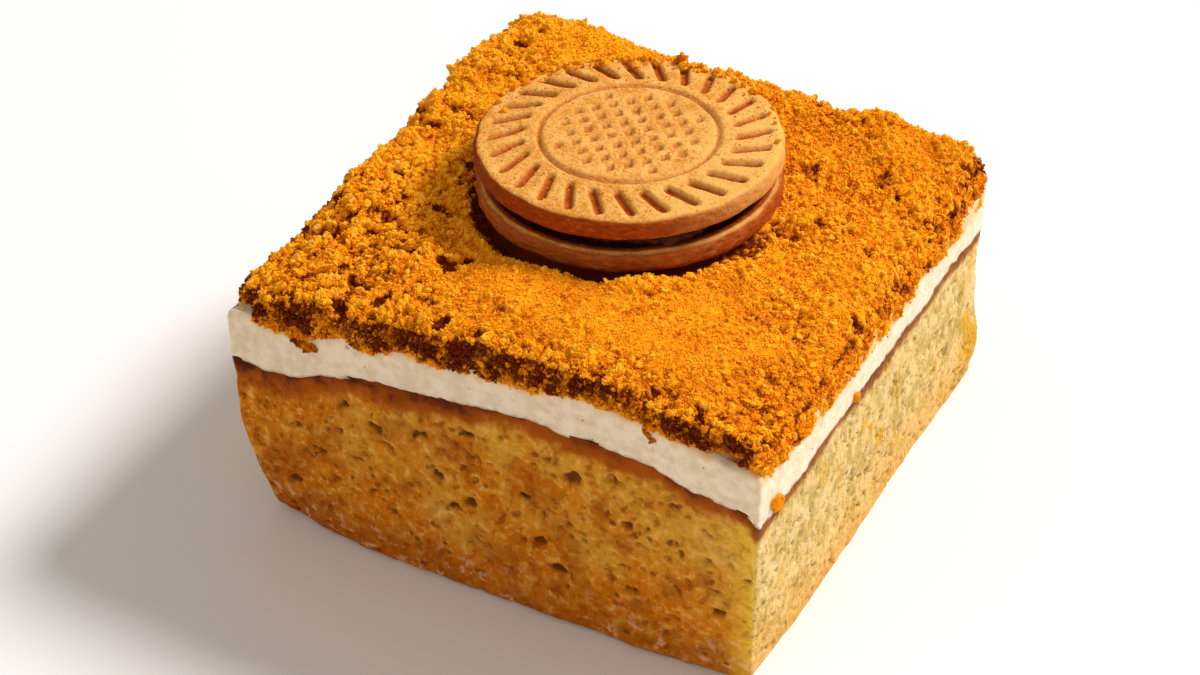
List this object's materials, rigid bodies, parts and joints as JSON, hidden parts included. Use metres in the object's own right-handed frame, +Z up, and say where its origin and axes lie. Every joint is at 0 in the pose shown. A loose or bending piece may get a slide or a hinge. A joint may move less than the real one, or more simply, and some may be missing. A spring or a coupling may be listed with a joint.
{
  "type": "milk cake",
  "caption": "Square cut piece of soaked milk cake: sponge, whipped cream, a bed of biscuit crumbs and a round sandwich biscuit lying on top.",
  "frame": {"origin": "middle of the flat underside, on the surface the cake rests on", "axes": "+Z up; +X and +Y along the cut sides, with the low front side facing -Y and the crown of the layers running along Y"},
  "size_m": [0.083, 0.083, 0.0534],
  "materials": {
    "sponge": "open soaked crumb, moist, stands in for cake",
    "cream": "soft satin, stands in for whipped cream",
    "crumbs": "rough and dry, stands in for biscuit crumbs",
    "biscuit": "dry baked and sandy, stands in for biscuit",
    "filling": "greasy satin, stands in for a fat cream filling"
  },
  "bodies": {
    "root": {"sponge": "sponge", "cream": "cream", "crumb_bed": "crumbs", "biscuit_lower_wafer": "biscuit", "biscuit_filling": "filling", "biscuit_upper_wafer": "biscuit"}
  },
  "joints": []
}
